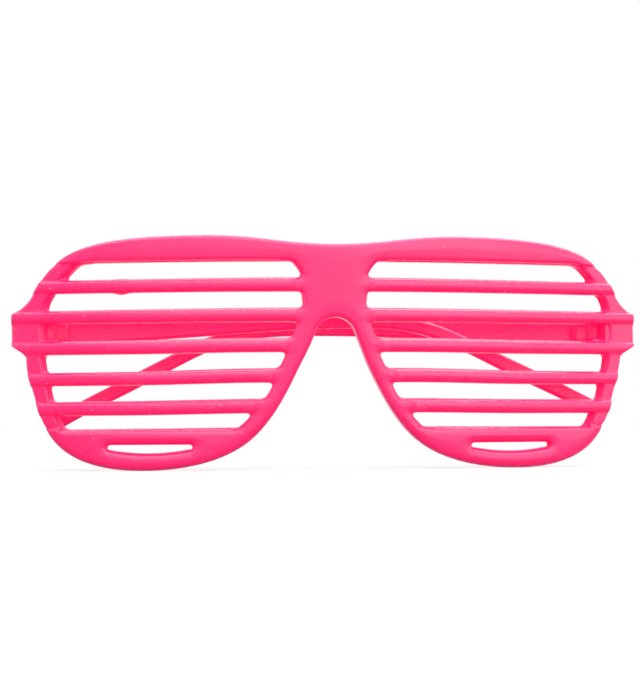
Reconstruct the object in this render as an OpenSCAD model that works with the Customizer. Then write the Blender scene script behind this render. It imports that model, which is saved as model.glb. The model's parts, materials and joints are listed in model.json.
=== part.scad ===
// Party glasses with slatted lens openings: a one-piece front and two folding temples.
// Millimetres. X runs across the face, with the wearer's left at +X. Y runs back to the ears. Z is up.
// The origin is the centre of the round crown of the nose arch, halfway through the front.
// The temples are drawn folded: the right one lies next to the front and the left one behind it.

/* [Front] */
// Width across the two end lugs
front_w = 151; // [144:1:158]
// Radius of the upright cylinder that the front face follows
wrap_r = 240; // [210:5:320]
// Thickness of the front moulding
front_t = 4; // [3.5:0.25:4.5]
// Height of the brow's top edge over the nose
brow_mid_z = 22.1; // [20.8:0.1:23]
// Height of the brow's top edge at its highest point
brow_peak_z = 24.2; // [23.2:0.1:25.5]
// Distance from the middle to the brow's highest point
brow_peak_x = 30; // [24:1:36]
// Depth of the lens lobe below the crown of the nose arch
lobe_drop = 30.75; // [29.75:0.25:32]
// Distance from the middle to the lowest point of a lobe
lobe_x = 44.5; // [41:0.5:48]
// Radius of the nose arch's round crown
arch_r = 4.9; // [4.4:0.1:5.4]
// Lean of the arch's legs from upright, in degrees
arch_lean = 20; // [16:1:24]

/* [Grille] */
// Number of slats in each lens opening
slat_n = 5; // [3:1:5]
// Height of a slat
slat_h = 3.05; // [2.6:0.05:3.4]
// Height from the top of one slat to the top of the next
slat_pitch = 7.1; // [6.6:0.05:7.2]
// Thickness of a slat
slat_t = 3; // [2.4:0.1:3.4]
// Height of the rounded crown on a slat's front
slat_crown = 0.7; // [0.4:0.05:1]
// Height of the brow bar's lower edge
grille_top = 18.05; // [17.7:0.05:18.4]
// Height from the brow bar down to the first slat
first_gap = 4.1; // [3.6:0.05:4.2]
// Height of the lower panel's top edge, below the crown's centre
panel_drop = 21.1; // [20.9:0.1:22]
// Width of the outer rim
rim_w = 3.2; // [3:0.1:4]
// How far the outer rim stands back between the slats
rim_step = 0.7; // [0.3:0.1:1]
// Width of the rim beside the nose
nose_rim_w = 3.6; // [3.2:0.1:4.2]
// Width of the bridge between the two lens openings
bridge_w = 14.8; // [13.5:0.1:17]
// How far the bridge widens on each side where it meets the brow
bridge_flare = 3.2; // [2:0.1:3.6]
// Radius of the slot corners beside the nose
slot_r = 1.2; // [0.6:0.1:1.6]

/* [Lower slot] */
// Distance from the middle to the middle of the lower slot
smile_x = 42.8; // [40:0.2:45]
// Width of the lower slot
smile_w = 19.6; // [15:0.2:22]
// Height of the lower slot's ends
smile_end_h = 1.3; // [0.8:0.1:1.5]
// Sag of the lower slot's bottom edge
smile_sag = 1.1; // [0.6:0.1:1.6]
// Height of the bar between the lowest gap and the lower slot
smile_bar = 3.6; // [3:0.1:3.8]

/* [End lugs] */
// Height of an end lug
lug_h = 7.8; // [7.6:0.1:8.6]
// Height of the lug's middle over the crown's centre
lug_z = 2.5; // [2.1:0.1:2.9]
// How far a lug stands out from the lens rim
lug_reach = 3.7; // [3:0.1:4.5]
// Depth from the middle of the front to the flat back of a lug
lug_back = 13.5; // [12.8:0.1:14]
// How far the solid end behind a lug reaches in past the rim
lug_lap = 0.8; // [0.4:0.1:1.2]

/* [Hinges] */
// Distance from the end of the front in to a hinge screw
pin_in = 8.5; // [7.9:0.1:9.5]
// Gap between a hinge's round end and the flat back of the lug
root_gap = 0.3; // [0.2:0.05:0.6]
// Radius of the temple's hinge knuckle
knuckle_r = 2.2; // [1.9:0.1:2.4]
// Height of the temple's hinge knuckle
knuckle_h = 4.2; // [3.4:0.1:4.6]
// Gap above and below the knuckle
knuckle_gap = 0.1; // [0.05:0.05:0.2]
// Length of the hinge boss on the temple
boss_len = 4.5; // [3.5:0.1:6]
// Thickness of a hinge ear on the front
ear_t = 1.6; // [1.5:0.05:1.8]
// How far a hinge ear is let into the slat in front of it
ear_lap = 0.3; // [0.2:0.1:0.6]
// Radius of a hinge ear
ear_r = 2.3; // [2:0.1:2.5]
// Radius of the hinge screw's shank
screw_r = 0.8; // [0.6:0.05:0.9]
// Running clearance between the shank and the knuckle, at the radius
screw_gap = 0.05; // [0.03:0.01:0.1]
// Radius of the hinge screw's head
head_r = 1.35; // [1.2:0.05:1.5]
// Height of the hinge screw's head
head_h = 0.8; // [0.5:0.05:0.9]
// Width of the driver slot in the head
driver_w = 0.4; // [0.3:0.05:0.6]

/* [Temples] */
// Length of a temple from its hinge to its tip, measured straight back
temple_len = 133; // [128:0.5:136]
// Distance from the hinge to the start of the bend
bend_at = 75; // [68:0.5:80]
// Distance along the temple that the bend takes
bend_len = 29; // [24:0.5:34]
// Slope of the lower part behind the bend, in degrees
tip_slope = 26; // [20:1:28]
// Extra slope at the very tip, in degrees
tip_curl = 2; // [0:1:5]
// How far that extra slope lowers the tip
tip_sag = 0.5; // [0:0.1:1]
// Height of a temple at its root
root_h = 7; // [6.4:0.1:7.4]
// Height of a temple where it is slimmest
waist_h = 3; // [2.4:0.1:3.6]
// Height of a temple at its tip
tip_h = 3.7; // [3:0.1:5]
// Rise of a temple's middle line from its root to the bend
temple_rise = 2.5; // [1:0.1:3]
// Thickness of a temple at its root
root_t = 3.8; // [3.4:0.1:4.2]
// Length of the root before the temple starts to get thinner
root_run = 12; // [8:0.5:20]
// Thickness of a temple at its tip
tip_t = 2.2; // [1.8:0.1:2.8]
// How far a temple's outer face stands in from the end of the lug
flush_step = 0.5; // [0.3:0.1:1]

/* [Fold] */
// Angle by which the right temple folds past the line of the front
right_past = 3; // [2:0.5:4]
// Angle by which the left temple stays short of that line
left_short = 2; // [2:0.5:4]
// Angle by which the left temple hangs lower
left_hang = 1.5; // [0:0.1:2]

/* [Hidden] */
$fn = 96;
neon = "#ff4a82";
steel = "#c4c6ca";
// Points on each stretch of a curve
steps = 8;
// Half the size of a shape that passes through everything it meets
reach = 60;
// How far a cut runs past the face that it opens
past = 1;
// How far the cut for a slat runs into the gaps above and below it
band_lap = 0.3;

face_y = -front_t / 2;
wrap_y = wrap_r + face_y;
lug_x = front_w / 2;
lens_x = lug_x - lug_reach;
lug_top = lug_z + lug_h / 2;
lug_bottom = lug_z - lug_h / 2;
panel_top = -panel_drop;
pin_x = lug_x - pin_in;
pin_y = lug_back + root_gap + knuckle_r;
temple_mid = pin_in - flush_step - root_t / 2;
knuckle_low = lug_z - knuckle_h / 2 - knuckle_gap;
knuckle_high = lug_z + knuckle_h / 2 + knuckle_gap;

// A point on a cubic curve, and the point that lies a given distance along a heading.
function cubic(a, b, c, d, t) =
    pow(1 - t, 3) * a + 3 * pow(1 - t, 2) * t * b + 3 * (1 - t) * pow(t, 2) * c + pow(t, 3) * d;
function along(p, heading, far) = p + far * [cos(heading), sin(heading)];

// A smooth line through nodes of [point, heading, handle behind, handle ahead].
function smooth_line(nodes) = [
    for (i = [0 : len(nodes) - 2], j = [0 : steps - 1])
        let (a = nodes[i], b = nodes[i + 1])
            cubic(a[0], along(a[0], a[1], a[3]), along(b[0], b[1], -b[2]), b[0], j / steps),
    nodes[len(nodes) - 1][0]
];

// A node moved to the right of its heading, into the material.
function inset(n, far) = [along(n[0], n[1] - 90, far), n[1], n[2], n[3]];
function flipped(line) = [for (i = [len(line) - 1 : -1 : 0]) [-line[i][0], line[i][1]]];
function turned(line) = [for (p = line) [p[1], p[0]]];

// Nodes of the right half of the outline, clockwise from the middle of the brow.
arch_end = [[arch_r * cos(arch_lean), arch_r * sin(arch_lean)], 90 + arch_lean, 4.3, 4.3];
brow_node = [[brow_peak_x, brow_peak_z], 0, 12, 24];
shoulder_node = [[lens_x - 5.3, lug_top + 10.2], -46, 7.5, 2.3];
temple_node = [[lens_x - 1.4, lug_top + 4.5], -63, 2.3, 2.4];
side_node = [[lens_x - 2.5, lug_bottom - 13.6], -104, 3.3, 3];
corner_node = [[lens_x - 5.7, lug_bottom - 20.9], -122, 2.6, 6.5];
lobe_node = [[lobe_x, -lobe_drop], -180, 11, 11];
cheek_node = [[19.5, 7 - lobe_drop], -220, 7, 5];
nose_node = [[10.35, -11.1], -243, 5, 4.3];
half_outline = smooth_line([
    [[0, brow_mid_z], 0, 12, 12],
    brow_node,
    shoulder_node,
    temple_node,
    [[lug_x - 0.6, lug_top + 0.1], -28, 2, 0.4],
    [[lug_x, lug_top - 0.8], -90, 0.4, 2],
    [[lug_x - 0.1, lug_bottom + 0.4], -92, 2, 0.5],
    [[lug_x - 1.1, lug_bottom - 0.6], -144, 0.5, 1],
    [[lens_x + 0.4, lug_bottom - 2.2], -130, 1, 0.7],
    [[lens_x, lug_bottom - 3.8], -96, 0.7, 3.3],
    side_node,
    corner_node,
    lobe_node,
    cheek_node,
    nose_node,
    arch_end
]);

// The two upright walls of a lens opening, each a line that follows the outline at the rim's width.
// The outer one runs on above and below the opening, to a point well inside the lens.
wall_end_x = lens_x - 14;
wall_low_z = panel_top - 4;
outer_wall = smooth_line([
    [[wall_end_x, grille_top + past], -12, 2, 2],
    inset(shoulder_node, rim_w),
    inset(temple_node, rim_w),
    [[lens_x - rim_w, lug_z], -90, 2.5, 5],
    inset(side_node, rim_w),
    inset(corner_node, rim_w),
    [[wall_end_x, wall_low_z], -135, 2, 2]
]);
nose_wall = smooth_line([
    [along(inset(cheek_node, nose_rim_w)[0], cheek_node[1], -nose_rim_w), cheek_node[1], 1, 1],
    inset(cheek_node, nose_rim_w),
    inset(nose_node, nose_rim_w),
    inset(arch_end, nose_rim_w),
    [[bridge_w / 2, (grille_top + arch_r) / 2], -270, 3, 3.3],
    [[bridge_w / 2 + bridge_flare, grille_top], -315, 1.8, 1]
]);
function wall_x(z) = lookup(z, turned(nose_wall));

// Depth of the front face at a distance from the middle.
function face_at(x) = wrap_y - sqrt(pow(wrap_r, 2) - pow(x, 2));

// Top edges of the slats, and the gaps as [bottom, top].
function slat_top(i) = grille_top - first_gap - i * slat_pitch;
gaps = [
    for (i = [0 : slat_n])
        [i == slat_n ? panel_top : slat_top(i), i == 0 ? grille_top : slat_top(i - 1) - slat_h]
];

// Extra width of a slot's rounded corner, at a height within the slot.
function corner_fill(z, gap) =
    let (d = min(z - gap[0], gap[1] - z), r = min(slot_r, (gap[1] - gap[0]) / 2))
        d < r ? r - sqrt(max(0, pow(r, 2) - pow(r - d, 2))) : 0;

// An extrusion through the whole depth of the front, of a shape drawn as it is seen from the front.
module through(from, to) {
    translate([0, to, 0]) rotate([90, 0, 0]) linear_extrude(to - from) children();
}

module outline_prism(back) {
    difference() {
        through(face_y - past, back) polygon(concat(half_outline, flipped(half_outline)));
        through(face_y - 2 * past, back + past) circle(arch_r);
    }
}

module wrapped(depth_0, depth_1) {
    translate([0, wrap_y, -reach]) difference() {
        cylinder(r = wrap_r - depth_0, h = 2 * reach);
        translate([0, 0, -past]) cylinder(r = wrap_r - depth_1, h = 2 * (reach + past));
    }
}

// The space inside the outer rim. Its wall stands square to the wrapped face.
module inside_outer_rim() {
    x0 = lens_x - rim_w;
    lean = asin(x0 / wrap_r);
    y0 = face_at(x0);
    edge = [for (p = outer_wall) [(p[0] - x0) * cos(lean) + (face_at(p[0]) - y0) * sin(lean), p[1]]];
    inner = [[-front_w, wall_low_z], [-front_w, grille_top + past]];
    translate([x0, y0, 0]) rotate([0, 0, lean])
        through(-reach / 2, reach / 2) polygon(concat(edge, inner));
}

// One slot, with rounded corners beside the nose.
module slot(gap) {
    rows = [for (j = [0 : 2 * steps]) gap[0] + (gap[1] - gap[0]) * (1 - cos(90 * j / steps)) / 2];
    through(face_y - past, lug_back)
        polygon(concat(
            [for (z = rows) [wall_x(z) + corner_fill(z, gap), z]],
            [[lug_x, gap[1]], [lug_x, gap[0]]]
        ));
}

// The band of a slat, where the plate gives way to the slat itself.
module slat_band(i) {
    low = slat_top(i) - slat_h;
    start = max(wall_x(low), wall_x(slat_top(i))) + slot_r;
    translate([start, face_y - past, low - band_lap]) cube([lug_x, lug_back, slat_h + 2 * band_lap]);
}

module lens_cuts() {
    intersection() {
        inside_outer_rim();
        union() {
            for (gap = gaps) slot(gap);
            for (i = [0 : slat_n - 1]) slat_band(i);
        }
    }
}

module rim_recess() {
    intersection() {
        wrapped(-past, rim_step);
        translate([lobe_x, face_y - past, panel_top])
            cube([lug_x, lug_back, grille_top - panel_top]);
    }
}

// The lower slot: a straight top edge, round ends and a sagging bottom edge.
module smile_slot() {
    top = panel_top - smile_bar;
    r = smile_end_h / 2;
    half = smile_w / 2 - r;
    end = [for (j = [0 : steps]) [half + r * sin(180 * j / steps), top - r + r * cos(180 * j / steps)]];
    sag = [
        for (j = [1 : 2 * steps - 1])
            let (x = half * (1 - j / steps))
                [x, top - smile_end_h - smile_sag * (1 - pow(x / half, 2))]
    ];
    through(face_y - past, lug_back)
        translate([smile_x, 0]) polygon(concat(end, sag, flipped(end)));
}

module slats() {
    crown_r = (pow(slat_h / 2, 2) + pow(slat_crown, 2)) / (2 * slat_crown);
    intersection() {
        outline_prism(lug_back);
        translate([0, wrap_y, 0]) rotate_extrude()
            for (i = [0 : slat_n - 1])
                translate([wrap_r, slat_top(i) - slat_h / 2]) intersection() {
                    translate([-crown_r, 0]) circle(crown_r);
                    translate([-slat_t, -slat_h / 2]) square([slat_t, slat_h]);
                }
    }
}

// The solid end of the front behind a lug.
module lug_block() {
    start = lens_x - rim_w - lug_lap;
    intersection() {
        outline_prism(lug_back);
        translate([0, wrap_y, -reach]) cylinder(r = wrap_r, h = 2 * reach);
        translate([start, face_y, lug_bottom]) cube([lug_x, lug_back - face_y, lug_h]);
    }
}

// One hinge ear, joined forwards to a slat and sideways to the lug.
module ear(low) {
    start = face_at(pin_x) + slat_t - ear_lap;
    translate([0, 0, low]) linear_extrude(ear_t) {
        translate([pin_x, pin_y]) circle(ear_r);
        translate([pin_x - ear_r, start]) square([2 * ear_r, pin_y - start]);
    }
}

module lug_and_ears() {
    difference() {
        union() {
            lug_block();
            ear(knuckle_low - ear_t);
            ear(knuckle_high);
        }
        translate([pin_x, pin_y, 0]) {
            translate([0, 0, -reach]) cylinder(r = screw_r, h = 2 * reach);
            translate([0, 0, lug_z]) cylinder(r = screw_r + screw_gap, h = reach);
            translate([0, 0, knuckle_high + ear_t - head_h]) cylinder(r = head_r + screw_gap, h = reach);
        }
    }
}

module front_frame() {
    color(neon) {
        difference() {
            intersection() {
                outline_prism(lug_back);
                wrapped(0, front_t);
            }
            for (side = [0, 1]) mirror([side, 0, 0]) {
                lens_cuts();
                rim_recess();
                smile_slot();
            }
        }
        slats();
        for (side = [0, 1]) mirror([side, 0, 0]) lug_and_ears();
    }
}

// The temple's middle line in side view, as nodes along its length from the hinge.
bend_mid = bend_at + bend_len / 2;
bend_z = lug_z + temple_rise;
tip_z = bend_z - (temple_len - bend_mid) * tan(tip_slope) - tip_sag;
temple_line = smooth_line([
    [[-knuckle_r, lug_z], 2, 0, bend_at / 3],
    [[bend_at, bend_z], 0, bend_at / 3, 0.45 * bend_len],
    [along([bend_mid, bend_z], -tip_slope, bend_len / 2), -tip_slope, 0.35 * bend_len, 8],
    [[temple_len, tip_z], -tip_slope - tip_curl, 8, 0]
]);

// Half the temple's height at a distance from the hinge: it eases from the root down to the waist,
// and widens evenly from the end of the bend to the tip.
function eased(t) = 1 - 3 * pow(t, 2) + 2 * pow(t, 3);
function half_h(s) = s < bend_at
    ? (waist_h + (root_h - waist_h) * eased(max(0, s) / bend_at)) / 2
    : lookup(s, [[bend_at + bend_len, waist_h / 2], [temple_len, tip_h / 2]]);

// An edge of the temple, above the middle line for side = 1 and below it for side = -1.
function temple_edge(side) = [
    for (i = [0 : len(temple_line) - 1])
        let (
            a = temple_line[max(0, i - 1)],
            b = temple_line[min(len(temple_line) - 1, i + 1)],
            p = temple_line[i]
        )
            along(p, atan2(b[1] - a[1], b[0] - a[0]) + 90 * side, half_h(p[0]))
];

module temple_side() {
    tip = temple_line[len(temple_line) - 1];
    difference() {
        union() {
            polygon(concat(temple_edge(1), [for (p = flipped(temple_edge(-1))) [-p[0], p[1]]]));
            translate(tip) circle(tip_h / 2);
        }
        translate([temple_len, tip[1] - reach]) square([reach, 2 * reach]);
    }
}

// The temple seen from above: X is the distance outwards from the hinge screw.
module temple_plan() {
    right = [
        [temple_mid + root_t / 2, -knuckle_r],
        [temple_mid + root_t / 2, root_run],
        [temple_mid + tip_t / 2, temple_len + past]
    ];
    polygon(concat(right, [for (p = flipped(right)) p + [2 * temple_mid, 0]]));
}

// A temple swung open, with its hinge screw on the Z axis.
module temple_open(hang) {
    difference() {
        union() {
            translate([0, 0, lug_z]) rotate([-hang, 0, 0]) translate([0, 0, -lug_z]) intersection() {
                translate([-reach, 0, 0]) rotate([90, 0, 90]) linear_extrude(2 * reach) temple_side();
                translate([0, 0, -reach]) linear_extrude(2 * reach) temple_plan();
            }
            translate([0, 0, lug_z - knuckle_h / 2]) linear_extrude(knuckle_h) {
                circle(knuckle_r);
                translate([0, -knuckle_r]) square([temple_mid, knuckle_r + boss_len]);
            }
        }
        translate([0, 0, -reach]) cylinder(r = screw_r + screw_gap, h = 2 * reach);
    }
}

// The driver slot runs across the head, as deep as half the head.
module hinge_screw() {
    top = knuckle_high + ear_t;
    low = knuckle_low - ear_t;
    color(steel) difference() {
        union() {
            translate([0, 0, low]) cylinder(r = screw_r, h = top - low);
            translate([0, 0, top - head_h]) cylinder(r = head_r, h = head_h);
        }
        translate([-head_r, -driver_w / 2, top - head_h / 2]) cube([2 * head_r, driver_w, head_h]);
    }
}

module at_left_hinge() {
    translate([pin_x, pin_y, 0]) children();
}

module at_right_hinge() {
    mirror([1, 0, 0]) at_left_hinge() children();
}

module right_temple() {
    color(neon) at_right_hinge() rotate([0, 0, 90 + right_past]) temple_open(0);
}

module left_temple() {
    color(neon) at_left_hinge() rotate([0, 0, 90 - left_short]) temple_open(left_hang);
}

module right_hinge_screw() {
    at_right_hinge() hinge_screw();
}

module left_hinge_screw() {
    at_left_hinge() hinge_screw();
}

front_frame();
right_temple();
left_temple();
right_hinge_screw();
left_hinge_screw();
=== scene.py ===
import json

import bpy
import numpy as np
from mathutils import Matrix, Vector

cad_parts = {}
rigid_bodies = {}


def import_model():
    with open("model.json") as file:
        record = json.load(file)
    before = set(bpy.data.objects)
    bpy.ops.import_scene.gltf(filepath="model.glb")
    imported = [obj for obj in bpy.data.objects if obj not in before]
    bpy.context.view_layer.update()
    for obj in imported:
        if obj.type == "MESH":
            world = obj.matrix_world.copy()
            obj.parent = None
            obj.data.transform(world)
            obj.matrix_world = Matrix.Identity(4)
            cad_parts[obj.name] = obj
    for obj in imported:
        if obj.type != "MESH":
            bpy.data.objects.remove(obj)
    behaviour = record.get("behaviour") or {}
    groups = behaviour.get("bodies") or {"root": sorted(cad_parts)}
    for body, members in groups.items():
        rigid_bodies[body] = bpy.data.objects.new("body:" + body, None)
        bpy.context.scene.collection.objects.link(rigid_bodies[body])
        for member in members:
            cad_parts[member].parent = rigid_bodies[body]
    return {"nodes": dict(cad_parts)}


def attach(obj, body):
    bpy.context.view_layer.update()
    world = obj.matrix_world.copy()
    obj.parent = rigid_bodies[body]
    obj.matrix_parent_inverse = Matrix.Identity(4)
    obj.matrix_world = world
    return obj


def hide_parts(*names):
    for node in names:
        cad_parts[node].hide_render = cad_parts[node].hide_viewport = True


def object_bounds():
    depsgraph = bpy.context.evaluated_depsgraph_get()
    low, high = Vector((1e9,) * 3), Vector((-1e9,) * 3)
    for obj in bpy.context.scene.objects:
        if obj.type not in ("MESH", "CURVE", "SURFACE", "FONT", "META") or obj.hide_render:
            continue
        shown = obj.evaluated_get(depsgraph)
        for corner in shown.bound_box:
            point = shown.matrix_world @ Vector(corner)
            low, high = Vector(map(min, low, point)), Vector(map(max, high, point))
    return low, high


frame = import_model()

# Lengths are in millimetres, in the CAD frame, until a mesh is made from them.
MM = 0.001
cad_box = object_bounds()

# Sizes of the front, as in the CAD source, apart from the lower slot's smaller sag.
FRONT_W = 151
WRAP_R = 240
FRONT_T = 4
BROW_MID_Z = 22.1
BROW_PEAK = (30, 24.2)
LOBE_X = 44.5
LOBE_DROP = 30.75
ARCH_R = 4.9
ARCH_LEAN = 20
SLAT_N = 5
SLAT_H = 3.05
SLAT_PITCH = 7.1
SLAT_T = 3
SLAT_CROWN = 0.7
GRILLE_TOP = 18.05
FIRST_GAP = 4.1
PANEL_TOP = -21.1
RIM_W = 3.2
RIM_STEP = 0.7
NOSE_RIM_W = 3.6
BRIDGE_W = 14.8
BRIDGE_FLARE = 3.2
SMILE_X = 42.8
SMILE_W = 19.6
SMILE_END_H = 1.3
SMILE_SAG = 0.85
SMILE_BAR = 3.6
LUG_H = 7.8
LUG_Z = 2.5
LUG_REACH = 3.7
LUG_BACK = 13.5
LUG_LAP = 0.8

# Sizes of the hinges, as in the CAD source.
PIN_IN = 8.5
ROOT_GAP = 0.3
KNUCKLE_R = 2.2
KNUCKLE_H = 4.2
KNUCKLE_GAP = 0.1
BOSS_LEN = 4.5
EAR_T = 1.6
EAR_LAP = 0.3
EAR_R = 2.3
SCREW_R = 0.8
SCREW_GAP = 0.05
HEAD_R = 1.35
HEAD_H = 0.8

# Sizes of the temples, as in the CAD source.
TEMPLE_LEN = 133
BEND_AT = 75
BEND_LEN = 29
TIP_SLOPE = 26
TIP_CURL = 2
TIP_SAG = 0.5
ROOT_H = 7
WAIST_H = 3
TIP_H = 3.7
TEMPLE_RISE = 2.5
ROOT_T = 3.8
ROOT_RUN = 12
TIP_T = 2.2
FLUSH_STEP = 0.5
RIGHT_PAST = 3
LEFT_SHORT = 2
LEFT_HANG = 1.5

# Roundings that the moulding has and the CAD solids leave sharp.
BROW_ROUND = 1.0
PANEL_ROUND = 1.5
SLAT_TOP_ROUND = 0.8
SLAT_LOW_ROUND = 0.4
# How much further than the CAD crown a slat falls away at its edges.
SLAT_FALL = 0.28
# How far a slat's top face rises to the back beside the nose, and at the rim.
TOP_RISE = (0.42, 0.1)
BACK_ROUND = 0.45
RIM_ROUND = 0.3
TEMPLE_ROUND = 0.75
HINGE_ROUND = 0.25
# How much stouter the bars are on either edge behind the root, and over which stretch that grows.
TAIL_MORE = 0.18
TAIL_FROM = 15
TAIL_TO = 40
# How many degrees less than in the CAD the left bar hangs.
HANG_LESS = 0.25
# How much the lower edge of a bar rises towards its tip, and over which stretch that grows.
TIP_TRIM = 0.48
TRIM_FROM = 112
TRIM_TO = 128
# Radii of the slot corners, from the top slot down: beside the nose above and below, and at the rim.
NOSE_TOP_R = (0.4, 0.7, 1.1, 1.1, 1.1, 1.1)
NOSE_LOW_R = (1.1, 1.1, 1.1, 1.1, 1.1, 0.5)
RIM_END_R = (1.1, 0.9, 0.9, 0.9, 0.9, 0.9)
# The slope of the nose walls to the parting line, and the rim walls' slope and ridge there.
WALL_DRAFT = 0.08
RIM_SLOPE = 0.45
RIDGE_H = 0.14
RIDGE_HALF_W = 0.5
# How far the rim and the nose walls reach further into each slot than drawn, from the top slot down:
# on the wearer's right, and on the left.
RIM_SHIFT = ((0.82, 0.78, 0.32, -0.18, 0.02, -0.08), (-0.18, -0.28, -0.42, -0.52, -0.12, 0.38))
NOSE_SHIFT = ((-0.36, 0.06, 0.7, 0.48, 0.04, 0.48), (-0.18, 0.2, 0.62, -0.24, -0.76, -0.52))
# How far the nose wall stands off the CAD's beside the bridge, and short of it at its top.
BRIDGE_MORE = 0.2
NOSE_TOP_LESS = 0.15
# How gently the broad faces fall away towards their edges, and how far that reaches.
PILLOW_DROP = 0.22
PILLOW_REACH = 4
# How far the rim's outer edge stands in between the slats.
EDGE_STEP = 0.14
# How far the slats sink towards the rims: heights, the drop at each, and over which stretch it grows.
SINK_Z = (-21.1, -17.5, -14.5, -10.4, -7.4, -3.3, 5.3)
SINK = (0.02, 0.36, 0.17, 0.48, 0.43, 0.26, 0.05)
SINK_FROM = 18
SINK_TO = 48
# How far the outline leans, its upper part to the wearer's left and its lower part to the right, and
# the heights between which it turns over.
LEAN = 0.175
LEAN_LOW = -8
LEAN_HIGH = 0
# A bulge in the wearer's right top slat: its place, its reach, and its height below and above the slat.
BULGE_X = -49.5
BULGE_R = 1.5
BULGE_LOW = 0.38
BULGE_HIGH = 0.14
# Distances over which forms pass into each other: off the nose and the rim walls, where the recess
# gives way to the slats, at the slats' edges, and into the grille's edge.
OFF_NOSE = (-0.6, 2.4)
OFF_RIM = (-0.2, 1.2)
RECESS_RUN = 0.9
SLAT_RUN = 0.3
SLAT_TOP_RUN = 0.6
GRILLE_RUN = 0.3
# Where the slats' roundings take over from those of the broad faces, and the panel's from the brow's.
IN_GRILLE = (-0.6, -1.6)
PAST_NOSE = (0.2, 2.2)
PANEL_FROM = -16
PANEL_ALL = -22
# How far before the face the recess passes where there is none, and how far the lug's solid end stands
# back behind the rim.
RECESS_CLEAR = 1.5
BLOCK_STEP = 0.6
# A distance beyond every form.
FAR = 1e3

FACE_Y = -FRONT_T / 2
WRAP_Y = WRAP_R + FACE_Y
LUG_X = FRONT_W / 2
LENS_X = LUG_X - LUG_REACH
LUG_TOP = LUG_Z + LUG_H / 2
LUG_BOTTOM = LUG_Z - LUG_H / 2
PIN_X = LUG_X - PIN_IN
PIN_Y = LUG_BACK + ROOT_GAP + KNUCKLE_R
TEMPLE_MID = PIN_IN - FLUSH_STEP - ROOT_T / 2
KNUCKLE_LOW = LUG_Z - KNUCKLE_H / 2 - KNUCKLE_GAP
KNUCKLE_HIGH = LUG_Z + KNUCKLE_H / 2 + KNUCKLE_GAP


def heading_vector(heading):
    """The unit vector at an angle in degrees, anticlockwise from the first axis."""
    angle = np.radians(heading)
    return np.array([np.cos(angle), np.sin(angle)])


def along(point, heading, far):
    return np.array(point, float) + far * heading_vector(heading)


def inset(node, far):
    """A node moved to the right of its heading, into the material."""
    return (along(node[0], node[1] - 90, far), node[1], node[2], node[3])


def smooth_line(nodes, steps=14):
    """Points of a smooth line through nodes of (point, heading, handle behind, handle ahead)."""
    points = []
    t = (np.arange(steps) / steps)[:, None]
    rest = 1 - t
    for a, b in zip(nodes, nodes[1:]):
        p0 = np.array(a[0], float)
        p1 = along(a[0], a[1], a[3])
        p2 = along(b[0], b[1], -b[2])
        p3 = np.array(b[0], float)
        points.append(rest ** 3 * p0 + 3 * rest ** 2 * t * p1 + 3 * rest * t ** 2 * p2 + t ** 3 * p3)
    points.append(np.array([nodes[-1][0]], float))
    return np.vstack(points)


class DistanceMap:
    """Signed distance to a line, kept on a fine grid over a rectangle and read between its points."""

    STEP = 0.1

    def __init__(self, line, low, high, is_inside):
        self.low = np.array(low, float)
        self.shape = (np.ceil((np.array(high) - self.low) / self.STEP)).astype(int) + 1
        u = self.low[0] + self.STEP * np.arange(self.shape[0])
        v = self.low[1] + self.STEP * np.arange(self.shape[1])
        grid_u, grid_v = np.meshgrid(u, v, indexing="ij")
        nearest = np.full(grid_u.shape, np.inf)
        for a, b in zip(line[:-1], line[1:]):
            edge = b - a
            du = grid_u - a[0]
            dv = grid_v - a[1]
            t = np.clip((du * edge[0] + dv * edge[1]) / max(edge @ edge, 1e-12), 0, 1)
            nearest = np.minimum(nearest, (du - t * edge[0]) ** 2 + (dv - t * edge[1]) ** 2)
        self.values = np.sqrt(nearest) * np.where(is_inside(grid_u, grid_v), -1, 1)

    def __call__(self, u, v):
        fu = np.clip((u - self.low[0]) / self.STEP, 0, self.shape[0] - 1.001)
        fv = np.clip((v - self.low[1]) / self.STEP, 0, self.shape[1] - 1.001)
        iu = fu.astype(np.int32)
        iv = fv.astype(np.int32)
        fu -= iu
        fv -= iv
        flat = self.values.ravel()
        at = iu * self.shape[1] + iv
        low = flat[at] * (1 - fv) + flat[at + 1] * fv
        high = flat[at + self.shape[1]] * (1 - fv) + flat[at + self.shape[1] + 1] * fv
        return low * (1 - fu) + high * fu


def inside_polygon(polygon):
    """A test of which points lie inside a closed polygon."""
    def test(u, v):
        found = np.zeros(u.shape, bool)
        for a, b in zip(polygon, np.roll(polygon, -1, axis=0)):
            if a[1] == b[1]:
                continue
            crosses = (v < a[1]) != (v < b[1])
            found ^= crosses & (u < a[0] + (v - a[1]) * (b[0] - a[0]) / (b[1] - a[1]))
        return found
    return test


def beyond_line(line, side):
    """A test of which points lie beyond a line that never turns back in height: side 1 is greater X."""
    order = line[np.argsort(line[:, 1])]

    def test(u, v):
        return side * (u - np.interp(v, order[:, 1], order[:, 0])) < 0
    return test


def both(a, b, r):
    """Where two fields are both inside, with the edge between them rounded to radius r."""
    corner = np.hypot(np.maximum(a + r, 0), np.maximum(b + r, 0))
    return np.minimum(np.maximum(a, b), -r) + corner


def ease(low, high, value):
    """A smooth passage from 0, where the value is at low or beyond, to 1, where it is at high."""
    t = np.clip((value - low) / (high - low), 0, 1)
    return t * t * (3 - 2 * t)


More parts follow.
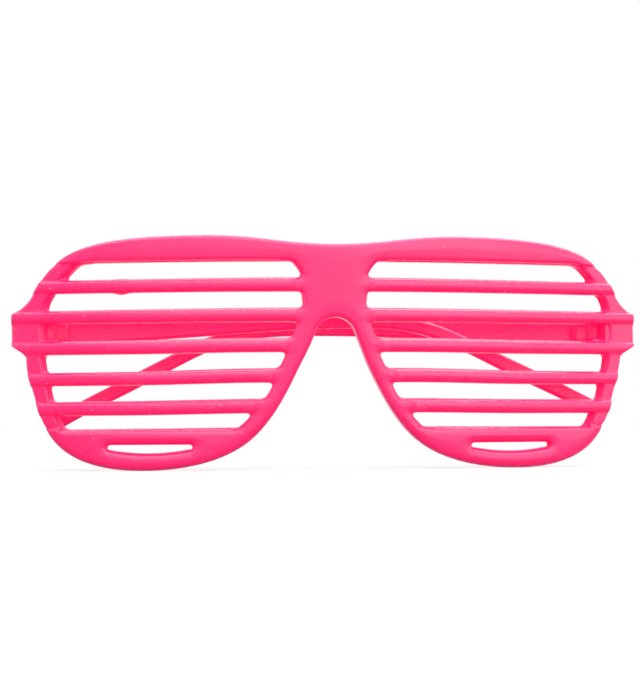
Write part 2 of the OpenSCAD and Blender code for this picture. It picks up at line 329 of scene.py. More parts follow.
# The lines of the front, seen from before: each node's point, heading and handles.
arch_end = (ARCH_R * heading_vector(ARCH_LEAN), 90 + ARCH_LEAN, 4.3, 4.3)
shoulder_node = ((LENS_X - 5.3, LUG_TOP + 10.2), -46, 7.5, 2.3)
temple_node = ((LENS_X - 1.4, LUG_TOP + 4.5), -63, 2.3, 2.4)
side_node = ((LENS_X - 2.5, LUG_BOTTOM - 13.6), -104, 3.3, 3)
corner_node = ((LENS_X - 5.7, LUG_BOTTOM - 20.9), -122, 2.6, 6.5)
lobe_node = ((LOBE_X, -LOBE_DROP), -180, 11, 11)
cheek_node = ((19.5, 7 - LOBE_DROP), -220, 7, 5)
nose_node = ((10.35, -11.1), -243, 5, 4.3)
half_outline = smooth_line([
    ((0, BROW_MID_Z), 0, 12, 12),
    (BROW_PEAK, 0, 12, 24),
    shoulder_node,
    temple_node,
    ((LUG_X - 0.6, LUG_TOP + 0.1), -28, 2, 0.4),
    ((LUG_X, LUG_TOP - 0.8), -90, 0.4, 2),
    ((LUG_X - 0.1, LUG_BOTTOM + 0.4), -92, 2, 0.5),
    ((LUG_X - 1.1, LUG_BOTTOM - 0.6), -144, 0.5, 1),
    ((LENS_X + 0.4, LUG_BOTTOM - 2.2), -130, 1, 0.7),
    ((LENS_X, LUG_BOTTOM - 3.8), -96, 0.7, 3.3),
    side_node,
    corner_node,
    lobe_node,
    cheek_node,
    nose_node,
    arch_end,
])
arch = [ARCH_R * heading_vector(angle) for angle in np.linspace(ARCH_LEAN, 90, 24)[1:]]
outline_edge = np.vstack([half_outline, arch])
wall_end_x = LENS_X - 14
outer_wall = smooth_line([
    ((wall_end_x, GRILLE_TOP + 1), -12, 2, 2),
    inset(shoulder_node, RIM_W),
    inset(temple_node, RIM_W),
    ((LENS_X - RIM_W, LUG_Z), -90, 2.5, 5),
    inset(side_node, RIM_W),
    inset(corner_node, RIM_W),
    ((wall_end_x, PANEL_TOP - 4), -135, 2, 2),
])
nose_top = (BRIDGE_W / 2 + BRIDGE_FLARE - NOSE_TOP_LESS, GRILLE_TOP)
nose_wall = smooth_line([
    (along(inset(cheek_node, NOSE_RIM_W)[0], cheek_node[1], -NOSE_RIM_W), cheek_node[1], 1, 1),
    inset(cheek_node, NOSE_RIM_W),
    inset(nose_node, NOSE_RIM_W),
    inset(arch_end, NOSE_RIM_W),
    ((BRIDGE_W / 2 + BRIDGE_MORE, 12), -270, 3, 3.3),
    (nose_top, -315, 1.8, 1),
])
nose_wall = np.vstack([nose_wall, along(nose_top, 45, 4)])

slat_tops = [GRILLE_TOP - FIRST_GAP - i * SLAT_PITCH for i in range(SLAT_N)]
gap_tops = [GRILLE_TOP] + [top - SLAT_H for top in slat_tops]
gap_bottoms = slat_tops + [PANEL_TOP]
crown_r = ((SLAT_H / 2) ** 2 + SLAT_CROWN ** 2) / (2 * SLAT_CROWN)

smile_top = PANEL_TOP - SMILE_BAR
smile_r = SMILE_END_H / 2
smile_half = SMILE_W / 2 - smile_r
end_turn = np.linspace(0, np.pi, 12)
smile_end_mid = np.array([smile_half, smile_top - smile_r])
smile_end = smile_end_mid + smile_r * np.column_stack([np.sin(end_turn), np.cos(end_turn)])
sag_x = np.linspace(smile_half, -smile_half, 30)[1:-1]
sag_z = smile_top - SMILE_END_H - SMILE_SAG * (1 - (sag_x / smile_half) ** 2)
smile_sag = np.column_stack([sag_x, sag_z])
smile_line = np.vstack([smile_end, smile_sag, smile_end[::-1] * [-1, 1]]) + [SMILE_X, 0]

# Distance maps of these lines, each over the rectangle where its line matters.
OUTLINE_BOX = ((-1, -34), (79, 27))
OUTER_BOX = ((40, -30), (79, 24))
NOSE_BOX = ((-1, -30), (50, 24))
SMILE_BOX = ((SMILE_X - 14, smile_top - 7), (SMILE_X + 14, smile_top + 5))
PAST_MIDDLE = -9
closed_half = np.vstack([[PAST_MIDDLE, BROW_MID_Z], outline_edge, [PAST_MIDDLE, ARCH_R]])
smile_loop = np.vstack([smile_line, smile_line[:1]])
outline_map = DistanceMap(outline_edge, *OUTLINE_BOX, inside_polygon(closed_half))
outer_map = DistanceMap(outer_wall, *OUTER_BOX, beyond_line(outer_wall, 1))
nose_map = DistanceMap(nose_wall, *NOSE_BOX, beyond_line(nose_wall, -1))
smile_map = DistanceMap(smile_loop, *SMILE_BOX, inside_polygon(smile_line))


def hinge_end(body, outline, x, y, z, depth):
    """The body with a flat back on the lug, its solid end, the hinge ears and the screw's holes."""
    body = both(body, y - LUG_BACK, HINGE_ROUND)
    block_band = np.abs(z - LUG_Z) - LUG_H / 2
    block = both(both(outline, block_band, HINGE_ROUND), (LENS_X - RIM_W - LUG_LAP) - x, HINGE_ROUND)
    block = np.maximum(block, RIM_STEP + BLOCK_STEP - depth)
    block = both(block, y - LUG_BACK, 2 * HINGE_ROUND)
    body = np.minimum(body, block)
    pin = np.hypot(x - PIN_X, y - PIN_Y)
    web = np.maximum(np.abs(x - PIN_X) - EAR_R, y - PIN_Y)
    web = np.maximum(web, SLAT_T - 2 * EAR_LAP - depth)
    ear_plan = np.minimum(pin - EAR_R, web)
    for low in (KNUCKLE_LOW - EAR_T, KNUCKLE_HIGH):
        ear_band = np.abs(z - low - EAR_T / 2) - EAR_T / 2
        body = np.minimum(body, both(ear_plan, ear_band, HINGE_ROUND))
    bore = np.where(z > LUG_Z, SCREW_R + SCREW_GAP, SCREW_R) - pin
    seat = np.minimum(HEAD_R + SCREW_GAP - pin, z - (KNUCKLE_HIGH + EAR_T - HEAD_H))
    return np.maximum(body, np.maximum(bore, seat))


def front_field(x, y, z):
    """The field of the front: below zero inside, above it outside, close to a distance near its skin."""
    bulge = np.exp(-((x - BULGE_X) / BULGE_R) ** 2)
    signed_x = x
    x = np.abs(x)
    radius = np.hypot(x, y - WRAP_Y)
    depth = WRAP_R - radius
    lean = LEAN * (2 * ease(LEAN_LOW, LEAN_HIGH, z) - 1)
    leaning_x = np.abs(signed_x - lean)
    outline = np.maximum(outline_map(leaning_x, z), x - LUG_X)
    to_nose = nose_map(x, z) + WALL_DRAFT * np.clip(FRONT_T / 2 - np.abs(depth - FRONT_T / 2), 0, None)
    open_out = np.clip((FRONT_T - depth) / (FRONT_T - RIM_STEP), 0, 1)
    ridge = np.clip(1 - np.abs(depth - FRONT_T / 2) / RIDGE_HALF_W, 0, None)
    to_rim = outer_map(x * WRAP_R / radius, z) - RIM_SLOPE * open_out + RIDGE_H * ridge

    level = z + ease(SINK_FROM, SINK_TO, x) * np.interp(z, SINK_Z, SINK)
    far_out = np.clip((x - BRIDGE_W) / (LENS_X - RIM_W - BRIDGE_W), 0, 1)
    rise = np.interp(far_out, (0, 1), TOP_RISE) * np.clip(depth / SLAT_T, 0, 1)

    # The openings, and how far a point lies along a slat from the nose and from the rim.
    opening = np.full(x.shape, FAR)
    for i, (low, high) in enumerate(zip(gap_bottoms, gap_tops)):
        middle = (low + high) / 2
        band = np.abs(level - middle) - (high - low) / 2
        band = band + rise * (level < middle)
        if i == 0:
            band = band + BULGE_HIGH * bulge * (level < middle)
        if i == 1:
            band = band + BULGE_LOW * bulge * (level > middle)
        nose_r = np.where(level > middle, NOSE_TOP_R[i], NOSE_LOW_R[i])
        nose_shift = np.where(signed_x < 0, NOSE_SHIFT[0][i], NOSE_SHIFT[1][i])
        near_nose = both(to_nose + nose_shift, band, nose_r)
        rim_shift = np.where(signed_x < 0, RIM_SHIFT[0][i], RIM_SHIFT[1][i])
        near_rim = both(to_rim + rim_shift, band, RIM_END_R[i])
        opening = np.minimum(opening, np.maximum(near_nose, near_rim))
    smile_mid = smile_top - (SMILE_END_H + SMILE_SAG) / 2
    opening = np.minimum(opening, smile_map(leaning_x, z) + rise * (z < smile_mid))
    off_nose = ease(*OFF_NOSE, -to_nose)
    off_rim = ease(*OFF_RIM, -to_rim)

    # How the front face stands back: crowned slats, and the outer rim between them.
    crown = RIM_STEP + ease(0, RECESS_RUN, -to_rim)
    on_slat = np.zeros(x.shape)
    upper_half = np.zeros(x.shape)
    for top in slat_tops:
        across = np.abs(level - (top - SLAT_H / 2))
        arc = crown_r - np.sqrt(np.maximum(crown_r ** 2 - across ** 2, 0))
        crown = np.minimum(crown, arc + SLAT_FALL * (across / (SLAT_H / 2)) ** 4)
        on_slat = np.maximum(on_slat, ease(SLAT_H / 2 + SLAT_RUN, SLAT_H / 2, across))
        upper_half = np.maximum(upper_half, ease(SLAT_TOP_RUN, 0, np.abs(level - top)))
    grille_mid = (GRILLE_TOP + PANEL_TOP) / 2
    grille = np.abs(level - grille_mid) - (GRILLE_TOP - PANEL_TOP) / 2
    between = (1 - on_slat) * ease(0, -GRILLE_RUN, grille) * off_nose
    outline = outline + EDGE_STEP * between
    plan = np.maximum(outline, -opening)
    cut = crown * off_nose - RECESS_CLEAR * (1 - off_nose)
    recess = both(grille, depth - cut, RIM_ROUND)
    in_grille = ease(*IN_GRILLE, grille) * ease(*PAST_NOSE, -to_nose)
    broad_round = BROW_ROUND + (PANEL_ROUND - BROW_ROUND) * ease(PANEL_FROM, PANEL_ALL, z)
    slat_round = SLAT_LOW_ROUND + (SLAT_TOP_ROUND - SLAT_LOW_ROUND) * upper_half
    front_round = broad_round + (slat_round - broad_round) * in_grille
    pillow = PILLOW_DROP * np.clip(1 + plan / PILLOW_REACH, 0, 1) ** 2 * (1 - in_grille)
    face = both(pillow - depth, -recess, RIM_ROUND)
    back = depth - FRONT_T + (FRONT_T - SLAT_T) * on_slat * off_nose * off_rim
    body = both(plan, face, front_round)
    body = both(body, back, BACK_ROUND)
    if x.max() > wall_end_x:
        body = hinge_end(body, outline, x, y, z, depth)
    return body


# The lines of a temple in side view: distance back from the hinge, and height.
bend_mid = BEND_AT + BEND_LEN / 2
bend_z = LUG_Z + TEMPLE_RISE
tip_z = bend_z - (TEMPLE_LEN - bend_mid) * np.tan(np.radians(TIP_SLOPE)) - TIP_SAG
temple_line = smooth_line([
    ((-KNUCKLE_R, LUG_Z), 2, 0, BEND_AT / 3),
    ((BEND_AT, bend_z), 0, BEND_AT / 3, 0.45 * BEND_LEN),
    (along((bend_mid, bend_z), -TIP_SLOPE, BEND_LEN / 2), -TIP_SLOPE, 0.35 * BEND_LEN, 8),
    ((TEMPLE_LEN, tip_z), -TIP_SLOPE - TIP_CURL, 8, 0),
])


def half_height(s):
    """Half the height of a bar, at a distance back from the hinge."""
    t = np.clip(s / BEND_AT, 0, 1)
    root = (WAIST_H + (ROOT_H - WAIST_H) * (1 - 3 * t ** 2 + 2 * t ** 3)) / 2
    tail = np.interp(s, [BEND_AT + BEND_LEN, TEMPLE_LEN], [WAIST_H / 2, TIP_H / 2])
    return np.where(s < BEND_AT, root, tail) + TAIL_MORE * ease(TAIL_FROM, TAIL_TO, s)


line_step = np.gradient(temple_line, axis=0)
line_step /= np.linalg.norm(line_step, axis=1)[:, None]
line_side = np.column_stack([-line_step[:, 1], line_step[:, 0]])
half = half_height(temple_line[:, 0])
trimmed_half = half - TIP_TRIM * ease(TRIM_FROM, TRIM_TO, temple_line[:, 0])
upper_edge = temple_line + line_side * half[:, None]
lower_edge = temple_line - line_side * trimmed_half[:, None]
tip_turn = np.radians(np.linspace(90, -90, 24)[1:-1] - TIP_SLOPE - TIP_CURL)
tip_mid = (upper_edge[-1] + lower_edge[-1]) / 2
tip_r = np.linalg.norm(upper_edge[-1] - lower_edge[-1]) / 2
tip_arc = tip_mid + tip_r * np.column_stack([np.cos(tip_turn), np.sin(tip_turn)])
temple_side = np.vstack([upper_edge, tip_arc, lower_edge[::-1]])
temple_loop = np.vstack([temple_side, temple_side[:1]])
TEMPLE_BOX = ((-5, -24), (140, 11))
temple_map = DistanceMap(temple_loop, *TEMPLE_BOX, inside_polygon(temple_side))


def temple_field(hang):
    """The field of a temple swung open, with its hinge screw on the Z axis and X outwards."""
    tilt = np.radians(hang)

    def field(x, y, z):
        bar_y = y * np.cos(tilt) - (z - LUG_Z) * np.sin(tilt)
        bar_z = LUG_Z + y * np.sin(tilt) + (z - LUG_Z) * np.cos(tilt)
        half_t = np.interp(bar_y, [ROOT_RUN, TEMPLE_LEN + 1], [ROOT_T / 2, TIP_T / 2])
        side = both(temple_map(bar_y, bar_z), bar_y - TEMPLE_LEN, 2 * HINGE_ROUND)
        bar = both(side, np.abs(x - TEMPLE_MID) - half_t, TEMPLE_ROUND)
        pin = np.hypot(x, y)
        boss_mid = (BOSS_LEN - KNUCKLE_R) / 2
        boss_y = np.abs(y - boss_mid) - (BOSS_LEN + KNUCKLE_R) / 2
        boss = both(np.maximum(-x, x - TEMPLE_MID), boss_y, HINGE_ROUND)
        knuckle = np.minimum(pin - KNUCKLE_R, boss)
        knuckle = both(knuckle, np.abs(z - LUG_Z) - KNUCKLE_H / 2, HINGE_ROUND)
        return np.maximum(np.minimum(bar, knuckle), SCREW_R + SCREW_GAP - pin)
    return field


def grid_line(stretches):
    """Grid positions from stretches of (start, end, greatest step)."""
    line = []
    for start, end, step in stretches:
        line.append(np.linspace(start, end, int(np.ceil((end - start) / step)) + 1)[:-1])
    return np.append(np.concatenate(line), stretches[-1][1])


# How a skin is drawn to its field: passes, the furthest move in each, the least squared slope that is
# trusted, and how far to either side a slope is read.
SNAP_PASSES = 3
SNAP_MOST = 0.12
LEAST_SLOPE = 0.25
SLOPE_REACH = 0.06


def skin(field, xs, ys, zs):
    """Points, quads and normals of a field's zero surface, a point in each grid cell that it crosses."""
    grid = np.meshgrid(xs, ys, zs, indexing="ij", copy=False)
    values = np.empty(grid[0].shape)
    for i in range(len(xs)):
        values[i] = field(grid[0][i], grid[1][i], grid[2][i])
    inside = values < 0
    cells = tuple(n - 1 for n in values.shape)
    corners = [(a, b, c) for a in (0, 1) for b in (0, 1) for c in (0, 1)]
    filled = np.zeros(cells, np.int8)
    for a, b, c in corners:
        filled += inside[a:a + cells[0], b:b + cells[1], c:c + cells[2]]
    crossed = (filled > 0) & (filled < len(corners))
    index = np.full(cells, -1, np.int64)
    index[crossed] = np.arange(crossed.sum())
    cell = np.argwhere(crossed)
    lines = (xs, ys, zs)
    total = np.zeros((len(cell), 3))
    number = np.zeros(len(cell))
    for axis in range(3):
        for a, b, c in corners:
            if (a, b, c)[axis]:
                continue
            start = cell + (a, b, c)
            end = start.copy()
            end[:, axis] += 1
            va = values[tuple(start.T)]
            vb = values[tuple(end.T)]
            cut = (va < 0) != (vb < 0)
            t = np.where(cut, va / np.where(cut, va - vb, 1), 0)
            point = np.column_stack([lines[k][start[:, k]] for k in range(3)])
            far = lines[axis][end[:, axis]] - lines[axis][start[:, axis]]
            point[:, axis] += t * far
            total += point * cut[:, None]
            number += cut
    points = total / number[:, None]

    quads = []
    for axis in range(3):
        u = (axis + 1) % 3
        v = (axis + 2) % 3
        low = np.take(inside, np.arange(cells[axis]), axis=axis)
        high = np.take(inside, np.arange(1, cells[axis] + 1), axis=axis)
        edge = np.argwhere(low != high)
        keep = (edge[:, u] > 0) & (edge[:, u] < cells[u])
        keep &= (edge[:, v] > 0) & (edge[:, v] < cells[v])
        edge = edge[keep]
        ring = []
        for du, dv in ((-1, -1), (0, -1), (0, 0), (-1, 0)):
            at = edge.copy()
            at[:, u] += du
            at[:, v] += dv
            ring.append(index[tuple(at.T)])
        ring = np.column_stack(ring)
        outwards = low[tuple(edge.T)]
        ring[~outwards] = ring[~outwards][:, ::-1]
        quads.append(ring)
    quads = np.vstack(quads)

    for _ in range(SNAP_PASSES):
        slope = gradient(field, points)
        size = np.maximum((slope ** 2).sum(axis=1), LEAST_SLOPE)
        move = -slope * (field(*points.T) / size)[:, None]
        points = points + np.clip(move, -SNAP_MOST, SNAP_MOST)
    normals = gradient(field, points)
    normals /= np.maximum(np.linalg.norm(normals, axis=1), 1e-9)[:, None]
    return points, quads, normals


def gradient(field, points):
    slope = []
    for axis in range(3):
        step = np.zeros(3)
        step[axis] = SLOPE_REACH
        rise = field(*(points + step).T) - field(*(points - step).T)
        slope.append(rise / (2 * SLOPE_REACH))
    return np.column_stack(slope)


def mesh_object(name, points, quads, normals):
    """A smooth mesh in the scene, made from millimetres."""
    mesh = bpy.data.meshes.new(name)
    mesh.from_pydata((points * MM).tolist(), [], quads.tolist())
    mesh.update()
    mesh.polygons.foreach_set("use_smooth", np.ones(len(mesh.polygons), bool))
    mesh.normals_split_custom_set_from_vertices(normals.tolist())
    piece = bpy.data.objects.new(name, mesh)
    bpy.context.scene.collection.objects.link(piece)
    return piece


def turn_z(points, degrees):
    angle = np.radians(degrees)
    cos = np.cos(angle)
    sin = np.sin(angle)
    return points @ np.array([[cos, sin, 0], [-sin, cos, 0], [0, 0, 1]])


# The front, in one skin over a grid that is finer at the hinges.
WIDE_STEP = 0.55
LUG_STEP = 0.4
FINE_STEP = 0.3
HINGE_FROM = 63.975
HINGE_TO = 70.2
FRONT_END = 75.8
half_x = grid_line([
    (WIDE_STEP / 2, HINGE_FROM, WIDE_STEP),
    (HINGE_FROM, HINGE_TO, FINE_STEP),
    (HINGE_TO, FRONT_END, LUG_STEP),
])
front_x = np.concatenate([-half_x[::-1], half_x])
front_y = grid_line([(-2.3, 18.8, FINE_STEP)])
front_z = grid_line([(-31.05, 24.5, FINE_STEP)])
front = mesh_object("front_moulding", *skin(front_field, front_x, front_y, front_z))

# The temples, each made open and then folded: side, name, and the degrees by which it hangs and folds.
TEMPLE_STEP = 0.25
BAR_STEP = 0.5
ROOT_END = 7
GRID_PAST = 0.4
temple_x = grid_line([(-2.5, 8.3, TEMPLE_STEP)])
temple_y = grid_line([(-2.6, ROOT_END, TEMPLE_STEP), (ROOT_END, 136, BAR_STEP)])
temple_sides = (
    (-1, "right_temple", 0, 90 + RIGHT_PAST),
    (1, "left_temple", LEFT_HANG - HANG_LESS, 90 - LEFT_SHORT),
)
for side, name, hang, fold in temple_sides:
    temple_low = tip_z - TIP_H / 2 - GRID_PAST - TEMPLE_LEN * np.sin(np.radians(hang))
    temple_z = grid_line([(temple_low, 6.8, TEMPLE_STEP)])
    points, quads, normals = skin(temple_field(hang), temple_x, temple_y, temple_z)
    points = turn_z(points, fold) + [PIN_X, PIN_Y, 0]
    normals = turn_z(normals, fold)
    if side < 0:
        points = points * [-1, 1, 1]
        normals = normals * [-1, 1, 1]
        quads = quads[:, ::-1]
    temple = mesh_object(name + "_moulding", points, quads, normals)
    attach(temple, name)
    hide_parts(name)

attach(front, "front")
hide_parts("front_frame")


def new_material(name):
    material = bpy.data.materials.new(name)
    material.use_nodes = True
    nodes = material.node_tree.nodes
    return material, nodes, material.node_tree.links, nodes["Principled BSDF"]


def noise(nodes, links, place, scale, detail):
    node = nodes.new("ShaderNodeTexNoise")
    node.inputs["Scale"].default_value = scale
    node.inputs["Detail"].default_value = detail
    links.new(place.outputs["Object"], node.inputs["Vector"])
    return node.outputs["Fac"]


def ramp(nodes, links, value, *stops):
    """A colour that passes through stops of (value, colour)."""
    node = nodes.new("ShaderNodeValToRGB")
    links.new(value, node.inputs["Fac"])
    for element, (at, colour) in zip(node.color_ramp.elements, stops):
        element.position = at
        element.color = (*colour, 1)
    return node.outputs["Color"]


def fade(nodes, links, value, span, result):
    """A value turned from one span into another, and held at its ends."""
    node = nodes.new("ShaderNodeMapRange")
    node.inputs["From Min"].default_value = span[0]
    node.inputs["From Max"].default_value = span[1]
    node.inputs["To Min"].default_value = result[0]
    node.inputs["To Max"].default_value = result[1]
    links.new(value, node.inputs["Value"])
    return node.outputs["Result"]


def combine(nodes, links, operation, *values):
    """The result of a maths operation on one or two values."""
    node = nodes.new("ShaderNodeMath")
    node.operation = operation
    for value, socket in zip(values, node.inputs):
        links.new(value, socket)
    return node.outputs[0]


def blend_tint(nodes, links, mask, under, over):
    """A colour with another one laid over it where the mask is high."""
    node = nodes.new("ShaderNodeMix")
    node.data_type = "RGBA"
    links.new(mask, node.inputs[0])
    links.new(under, node.inputs[6])
    node.inputs[7].default_value = (*over, 1)
    return node.outputs[2]


def separate(nodes, links, vector):
    node = nodes.new("ShaderNodeSeparateXYZ")
    links.new(vector, node.inputs["Vector"])
    return node.outputs


def add_bump(nodes, links, shader, height, strength, distance):
    node = nodes.new("ShaderNodeBump")
    node.inputs["Strength"].default_value = strength
    node.inputs["Distance"].default_value = distance
    links.new(height, node.inputs["Height"])
    links.new(node.outputs["Normal"], shader.inputs["Normal"])


# Neon plastic: a deep even pink with a slight cloudiness, paler convex edges that are partly rubbed wear
# and partly a painted highlight, and pale specks.
NEON_DEEP = (1.0, 0.014, 0.088)
NEON_CLOUD = (1.0, 0.018, 0.1)
NEON_RUBBED_AND_SHEEN = (1.0, 0.06, 0.18)
NEON_SPECK = (1.0, 0.35, 0.5)
# A painted glow, red with a little blue, lifts the plastic's shade everywhere: it stands in for light
# scattered through the plastic and bounced between its parts, and is no lamp.
NEON_PAINTED_GLOW = (1.0, 0.0, 0.27, 1)
NEON_PAINTED_GLOW_LEVEL = 0.25
NEON_IOR = 1.33
neon, nodes, links, shader = new_material("neon_plastic")
place = nodes.new("ShaderNodeTexCoord")
cloud = noise(nodes, links, place, scale=60, detail=2)
cloud_tint = ramp(nodes, links, cloud, (0.35, NEON_DEEP), (0.7, NEON_CLOUD))
shape = nodes.new("ShaderNodeNewGeometry")
# Paler convex edges, by pointiness: partly rubbed wear, partly a painted highlight.
rubbed_and_sheen = fade(nodes, links, shape.outputs["Pointiness"], (0.52, 0.62), (0, 0.35))
tint = blend_tint(nodes, links, rubbed_and_sheen, cloud_tint, NEON_RUBBED_AND_SHEEN)
grit = nodes.new("ShaderNodeTexVoronoi")
grit.inputs["Scale"].default_value = 380
links.new(place.outputs["Object"], grit.inputs["Vector"])
speck = fade(nodes, links, grit.outputs["Distance"], (0.05, 0.08), (1, 0))
chosen = fade(nodes, links, grit.outputs["Color"], (0.62, 0.66), (0, 0.7))
speck_mask = combine(nodes, links, "MULTIPLY", speck, chosen)
tint = blend_tint(nodes, links, speck_mask, tint, NEON_SPECK)
links.new(tint, shader.inputs["Base Color"])

# Its gloss is uneven from handling, and duller on walls that face sideways at the outer rims.
handling = noise(nodes, links, place, scale=180, detail=4)
uneven = fade(nodes, links, handling, (0, 1), (0.24, 0.31))
sideways = combine(nodes, links, "ABSOLUTE", separate(nodes, links, place.outputs["Normal"])["X"])
off_centre = combine(nodes, links, "ABSOLUTE", separate(nodes, links, place.outputs["Object"])["X"])
wall_dullness = fade(nodes, links, sideways, (0.6, 0.95), (0, 0.45))
at_rims = fade(nodes, links, off_centre, (0.045, 0.055), (0, 1))
rim_wall = combine(nodes, links, "MULTIPLY", wall_dullness, at_rims)
links.new(combine(nodes, links, "ADD", uneven, rim_wall), shader.inputs["Roughness"])
peel = noise(nodes, links, place, scale=260, detail=1)
add_bump(nodes, links, shader, peel, strength=0.012, distance=0.0003)
shader.inputs["IOR"].default_value = NEON_IOR
# The painted glow that lifts the shade.
shader.inputs["Emission Color"].default_value = NEON_PAINTED_GLOW
shader.inputs["Emission Strength"].default_value = NEON_PAINTED_GLOW_LEVEL
for piece in list(bpy.context.scene.collection.objects):
    if piece.name.endswith("_moulding"):
        piece.data.materials.append(neon)

# Bright plated steel with fine turning marks for the hinge screws, and painted shade in their driver
# slots, where they are dark, duller and not metallic.
STEEL_DULL = (0.62, 0.63, 0.65)
STEEL_BRIGHT = (0.78, 0.79, 0.81)
SLOT_PAINTED_SHADE = (0.03, 0.03, 0.035)
# How far under the head's face, in metres, the painted shade in a slot starts, and is full.
SLOT_SHADE_START = 0.1 * MM
SLOT_SHADE_FULL = 0.25 * MM
steel, nodes, links, shader = new_material("screw_steel")
place = nodes.new("ShaderNodeTexCoord")
stain = noise(nodes, links, place, scale=900, detail=3)
steel_tint = ramp(nodes, links, stain, (0.3, STEEL_DULL), (0.75, STEEL_BRIGHT))
head_top = (KNUCKLE_HIGH + EAR_T) * MM
height = separate(nodes, links, place.outputs["Object"])["Z"]
# Painted shade in the driver slots: darker the deeper below the head's face.
slot_shade = fade(nodes, links, height, (head_top - SLOT_SHADE_FULL, head_top - SLOT_SHADE_START), (1, 0))
links.new(blend_tint(nodes, links, slot_shade, steel_tint, SLOT_PAINTED_SHADE), shader.inputs["Base Color"])
links.new(fade(nodes, links, slot_shade, (0, 1), (1, 0)), shader.inputs["Metallic"])
turning = nodes.new("ShaderNodeTexWave")
turning.wave_type = "RINGS"
turning.rings_direction = "Z"
turning.inputs["Scale"].default_value = 2600
turning.inputs["Distortion"].default_value = 1.5
links.new(place.outputs["Object"], turning.inputs["Vector"])
turned = fade(nodes, links, turning.outputs["Fac"], (0, 1), (0.22, 0.42))
slot_dullness = fade(nodes, links, slot_shade, (0, 1), (0, 0.55))
links.new(combine(nodes, links, "ADD", turned, slot_dullness), shader.inputs["Roughness"])
add_bump(nodes, links, shader, turning.outputs["Fac"], strength=0.15, distance=0.0001)
for name in ("right_hinge_screw", "left_hinge_screw"):
    frame["nodes"][name].material_slots[0].material = steel

# A pale floor under the front's lowest points. The camera sees it white, with the object's shadow on it:
# its colour as light meets it and as it is seen, and its glow where it is near and where it is far.
FLOOR_HALF = 4.0
FLOOR_COLOUR = 0.16
FLOOR_SEEN = 0.18
FLOOR_GLOW = (0.72, 0.96)
NEAR_AND_FAR = (0.1, 0.9)
floor_z = cad_box[0][2]
floor_mesh = bpy.data.meshes.new("floor")
floor_corners = [(-1, -1), (1, -1), (1, 1), (-1, 1)]
floor_points = [(u * FLOOR_HALF, v * FLOOR_HALF, floor_z) for u, v in floor_corners]
floor_mesh.from_pydata(floor_points, [], [(0, 1, 2, 3)])
floor = bpy.data.objects.new("floor", floor_mesh)
bpy.context.scene.collection.objects.link(floor)


def seen_level(nodes, links, unseen, seen):
    """One value for rays from the camera, from gloss and through glass, and another for all others."""
    ray = nodes.new("ShaderNodeLightPath").outputs
    is_seen = combine(nodes, links, "MAXIMUM", ray["Is Camera Ray"], ray["Is Glossy Ray"])
    is_seen = combine(nodes, links, "MAXIMUM", is_seen, ray["Is Transmission Ray"])
    return fade(nodes, links, is_seen, (0, 1), (unseen, seen))


paper, nodes, links, shader = new_material("paper")
links.new(seen_level(nodes, links, FLOOR_COLOUR, FLOOR_SEEN), shader.inputs["Base Color"])
place = nodes.new("ShaderNodeTexCoord")
away = nodes.new("ShaderNodeVectorMath")
away.operation = "LENGTH"
links.new(place.outputs["Object"], away.inputs[0])
lift = fade(nodes, links, away.outputs["Value"], NEAR_AND_FAR, FLOOR_GLOW)
glow = combine(nodes, links, "MULTIPLY", lift, seen_level(nodes, links, 0, 1))
links.new(glow, shader.inputs["Emission Strength"])
shader.inputs["Emission Color"].default_value = (1, 1, 1, 1)
shader.inputs["Roughness"].default_value = 1.0
shader.inputs["Specular IOR Level"].default_value = 0.0
floor_mesh.materials.append(paper)

# Plain soft light: a pale room that is seen white, and lamps overhead, above the camera and in front.
# The cards show in the gloss alone, and light nothing else.
ROOM = 0.2
world = bpy.data.worlds.new("room")
bpy.context.scene.world = world
world.use_nodes = True
background = world.node_tree.nodes["Background"]
background.inputs["Color"].default_value = (1, 1, 1, 1)
room_level = seen_level(world.node_tree.nodes, world.node_tree.links, ROOM, 1.0)
world.node_tree.links.new(room_level, background.inputs["Strength"])


def soft_lamp(name, place, size, radiance, in_diffuse=True):
    """A lamp that faces the object. Radiance 1 from all round would render white plastic white."""
    lamp = bpy.data.lights.new(name, "AREA")
    lamp.shape = "RECTANGLE"
    lamp.size = size[0]
    lamp.size_y = size[1]
    lamp.energy = radiance * np.pi * size[0] * size[1]
    holder = bpy.data.objects.new(name, lamp)
    holder.visible_diffuse = in_diffuse
    holder.location = place
    holder.rotation_euler = (-Vector(place)).to_track_quat("-Z", "Y").to_euler()
    bpy.context.scene.collection.objects.link(holder)


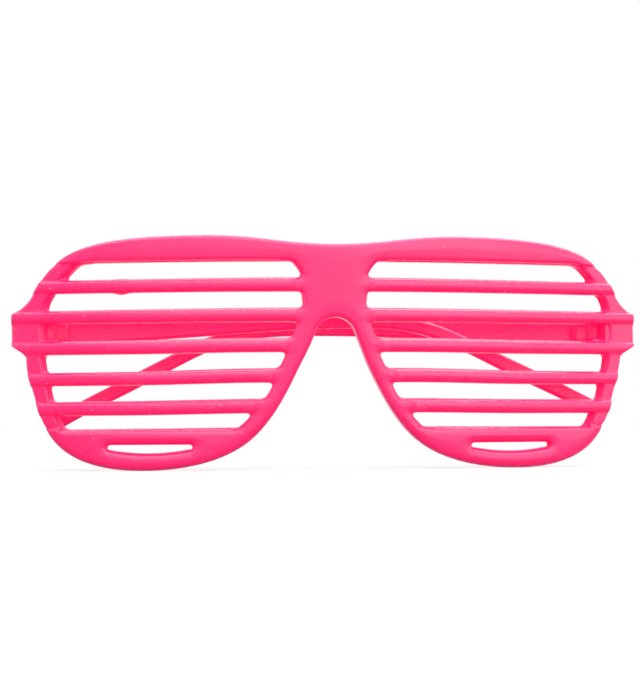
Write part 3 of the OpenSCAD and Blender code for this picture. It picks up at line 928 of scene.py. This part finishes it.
soft_lamp("ceiling_light", (0.08, -0.08, 0.6), (1.2, 0.8), 4.2)
soft_lamp("ceiling_card", (0.08, 0.0, 0.6), (1.4, 1.0), 3.5, in_diffuse=False)
soft_lamp("upper_light", (0.1, -0.75, 0.5), (1.0, 0.35), 2.2)
soft_lamp("upper_card", (0.1, -0.75, 0.5), (1.0, 0.35), 4, in_diffuse=False)
soft_lamp("front_light", (0.0, -1.1, 0.1), (1.2, 1.2), 2.1)
soft_lamp("front_card", (0.6, -0.66, 0.02), (0.4, 0.5), 3.5, in_diffuse=False)
soft_lamp("brow_card", (0.38, -0.83, 0.26), (0.42, 0.26), 4.5, in_diffuse=False)
soft_lamp("left_card", (-0.8, -0.25, 0.15), (0.8, 0.8), 4, in_diffuse=False)
soft_lamp("right_card", (0.8, -0.2, 0.15), (0.8, 0.8), 4, in_diffuse=False)

# The camera, from a fit of the photograph: its focal length, its yaw, pitch and roll in degrees, where
# the fit's frame lies in its space, in millimetres to the right, ahead and up, and where the CAD frame's
# origin lies in the fit's frame.
FOCAL_PX = 1711.03
FRAME_PX = 700
SENSOR = 36
NEAREST = 0.01
camera_turn = np.radians([6.712, -2.4947, -0.3705])
camera_shift = np.array([3.5962, 398.781, 5.3484])
fit_origin = np.array([0, 2.0, -2.48])
cos_yaw, cos_pitch, cos_roll = np.cos(camera_turn)
sin_yaw, sin_pitch, sin_roll = np.sin(camera_turn)
yaw = np.array([[cos_yaw, -sin_yaw, 0], [sin_yaw, cos_yaw, 0], [0, 0, 1]])
pitch = np.array([[1, 0, 0], [0, cos_pitch, -sin_pitch], [0, sin_pitch, cos_pitch]])
roll = np.array([[cos_roll, 0, sin_roll], [0, 1, 0], [-sin_roll, 0, cos_roll]])
axes = roll @ pitch @ yaw
place = (axes.T @ -camera_shift - fit_origin) * MM
camera_data = bpy.data.cameras.new("camera")
camera_data.sensor_width = SENSOR
camera_data.lens = FOCAL_PX * SENSOR / FRAME_PX
camera_data.clip_start = NEAREST
camera = bpy.data.objects.new("camera", camera_data)
turn = Matrix((axes[0], axes[2], -axes[1])).transposed()
camera.matrix_world = Matrix.Translation(Vector(place)) @ turn.to_4x4()
bpy.context.scene.collection.objects.link(camera)
bpy.context.scene.camera = camera
bpy.context.scene.view_settings.view_transform = "Standard"
